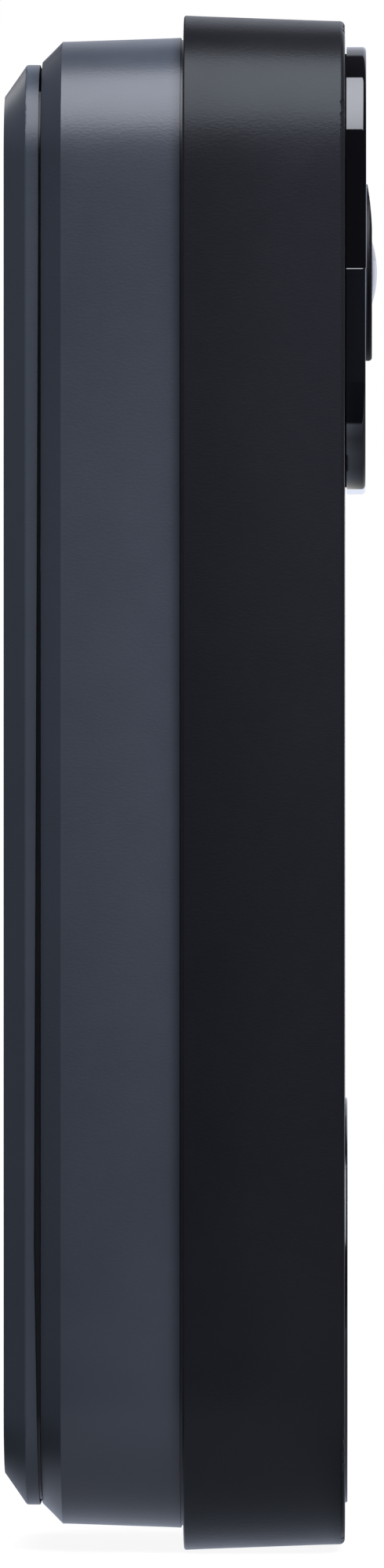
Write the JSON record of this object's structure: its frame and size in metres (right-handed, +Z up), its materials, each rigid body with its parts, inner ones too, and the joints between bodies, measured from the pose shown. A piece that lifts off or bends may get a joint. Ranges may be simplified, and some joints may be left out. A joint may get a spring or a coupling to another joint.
{
  "type": "video doorbell",
  "caption": "Slim battery video doorbell with a proud glossy camera window above a round lit call button, hung on a bevelled wall plate by a hook and a spring latch.",
  "frame": {"origin": "centre of the wall plate's wall face, midway between its two screw slots", "axes": "+Z up, +Y into the wall, so the front with the camera and the button looks along -Y; +X is to the right of someone who faces the doorbell"},
  "size_m": [0.043, 0.0315, 0.13],
  "materials": {
    "grey_housing": "satin",
    "black_shell": "satin",
    "black_window": "polished",
    "black_trim": "gloss",
    "light_guide": "gloss",
    "lens_glass": "polished",
    "black_metal": "satin",
    "steel_fastener": "satin",
    "nickel_contact": "gloss",
    "brass_terminal": "gloss",
    "shield_tin": "satin",
    "board": "satin",
    "chip": "matte",
    "connector": "matte",
    "flex": "satin",
    "lamp": "gloss",
    "ir_lamp": "gloss",
    "seal_rubber": "matte",
    "membrane_rubber": "satin",
    "foam": "matte",
    "tape": "matte",
    "spring_plastic": "satin",
    "speaker_box": "matte",
    "switch_body": "matte",
    "cell_jacket": "gloss"
  },
  "bodies": {
    "wall_mount": {"mounting_plate": "grey_housing"},
    "doorbell": {"rear_housing": "grey_housing", "front_shell": "black_shell", "case_seal": "seal_rubber", "case_screws": "steel_fastener", "contact_springs": "nickel_contact", "contact_plates": "nickel_contact", "main_board": "board", "camera_board": "board", "board_screws": "steel_fastener", "shield_can": "shield_tin", "board_chips": "chip", "flex_connectors": "connector", "flex_cable": "flex", "camera_window": "black_window", "window_tape": "tape", "lens_ring": "black_trim", "lens_dome": "lens_glass", "lens_barrel": "black_metal", "lens_elements": "lens_glass", "lens_holder": "black_trim", "image_sensor": "chip", "ir_leds": "ir_lamp", "microphone": "shield_tin", "microphone_boot": "seal_rubber", "light_ring": "light_guide", "button_membrane": "membrane_rubber", "call_switch": "switch_body", "ring_leds": "lamp", "speaker": "speaker_box", "speaker_gasket": "foam", "terminal_strips": "brass_terminal", "terminal_screws": "steel_fastener", "reset_switch": "switch_body", "cell_lower_left": "cell_jacket", "cell_lower_right": "cell_jacket", "cell_upper": "cell_jacket"},
    "button_cap": {"call_button": "black_shell"},
    "reset_plunger": {"reset_button": "black_trim"},
    "latch_leaf": {"release_latch": "spring_plastic"}
  },
  "joints": [
    {"name": "tilt_off_wall", "type": "hinge", "parent": "wall_mount", "child": "doorbell", "pos_m": [0, -0.004, 0.05984], "axis": [-1, 0, 0], "range_deg": [0, 8], "deforming": ["release_latch"]},
    {"name": "call_button_press", "type": "slide", "parent": "doorbell", "child": "button_cap", "axis": [0, 1, 0], "range_m": [0, 0.0008], "stiffness_N_per_m": 1500, "springref_m": -0.001, "deforming": ["button_membrane"]},
    {"name": "reset_button_press", "type": "slide", "parent": "doorbell", "child": "reset_plunger", "axis": [0, -1, 0], "range_m": [0, 0.0004], "stiffness_N_per_m": 1500, "springref_m": -0.001},
    {"name": "latch_flex", "type": "hinge", "parent": "doorbell", "child": "latch_leaf", "pos_m": [0, -0.01403, -0.05643], "axis": [1, 0, 0], "range_deg": [0, 7], "stiffness_Nm_per_rad": 0.5}
  ]
}
